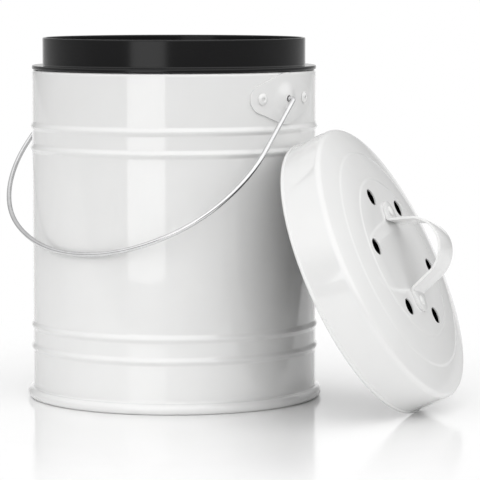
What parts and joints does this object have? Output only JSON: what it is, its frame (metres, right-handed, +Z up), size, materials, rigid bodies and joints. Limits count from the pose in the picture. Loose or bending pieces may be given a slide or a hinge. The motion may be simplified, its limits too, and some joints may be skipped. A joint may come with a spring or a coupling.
{
  "type": "compost caddy",
  "caption": "Round steel kitchen compost caddy with a lift-out liner bucket, a swinging wire bail and a loose vented lid, with its charcoal filter, leaning on the can.",
  "frame": {"origin": "on the can's vertical axis, at the table that its foot roll stands on", "axes": "+Z up along the can's axis; +X through the bail's right ear and towards the leaning lid; the bail rests on the can's -Y side"},
  "size_m": [0.2973, 0.2087, 0.2276],
  "materials": {
    "white_enamel": "gloss",
    "bail_steel": "polished",
    "liner_plastic": "semi-gloss",
    "holder_plastic": "matt",
    "charcoal_pad": "open foam"
  },
  "bodies": {
    "can": {"can_wall": "white_enamel", "can_base": "white_enamel", "ear_right": "white_enamel", "ear_left": "white_enamel", "ear_rivet_right_front": "white_enamel", "ear_rivet_right_back": "white_enamel", "ear_rivet_left_front": "white_enamel", "ear_rivet_left_back": "white_enamel"},
    "bail": {"bail_wire": "bail_steel"},
    "liner": {"liner_bucket": "liner_plastic"},
    "lid": {"lid_shell": "white_enamel", "strap_handle": "white_enamel", "handle_rivet_upper": "white_enamel", "handle_rivet_lower": "white_enamel", "filter_holder": "holder_plastic"},
    "filter": {"charcoal_filter": "charcoal_pad"}
  },
  "joints": [
    {"name": "bail_swing", "type": "hinge", "parent": "can", "child": "bail", "pos_m": [0, 0, 0.1913], "axis": [-1, 0, 0], "range_deg": [0, 225]},
    {"name": "liner_lift", "type": "slide", "parent": "can", "child": "liner", "axis": [0, 0, 1], "range_m": [0, 0.21]},
    {"name": "lid_lift", "type": "slide", "parent": "can", "child": "lid", "axis": [0.8519, 0.3017, 0.4281], "range_m": [0, 0.25]},
    {"name": "filter_slide", "type": "slide", "parent": "lid", "child": "filter", "axis": [-0.8519, -0.3017, -0.4281], "range_m": [0, 0.02]}
  ]
}
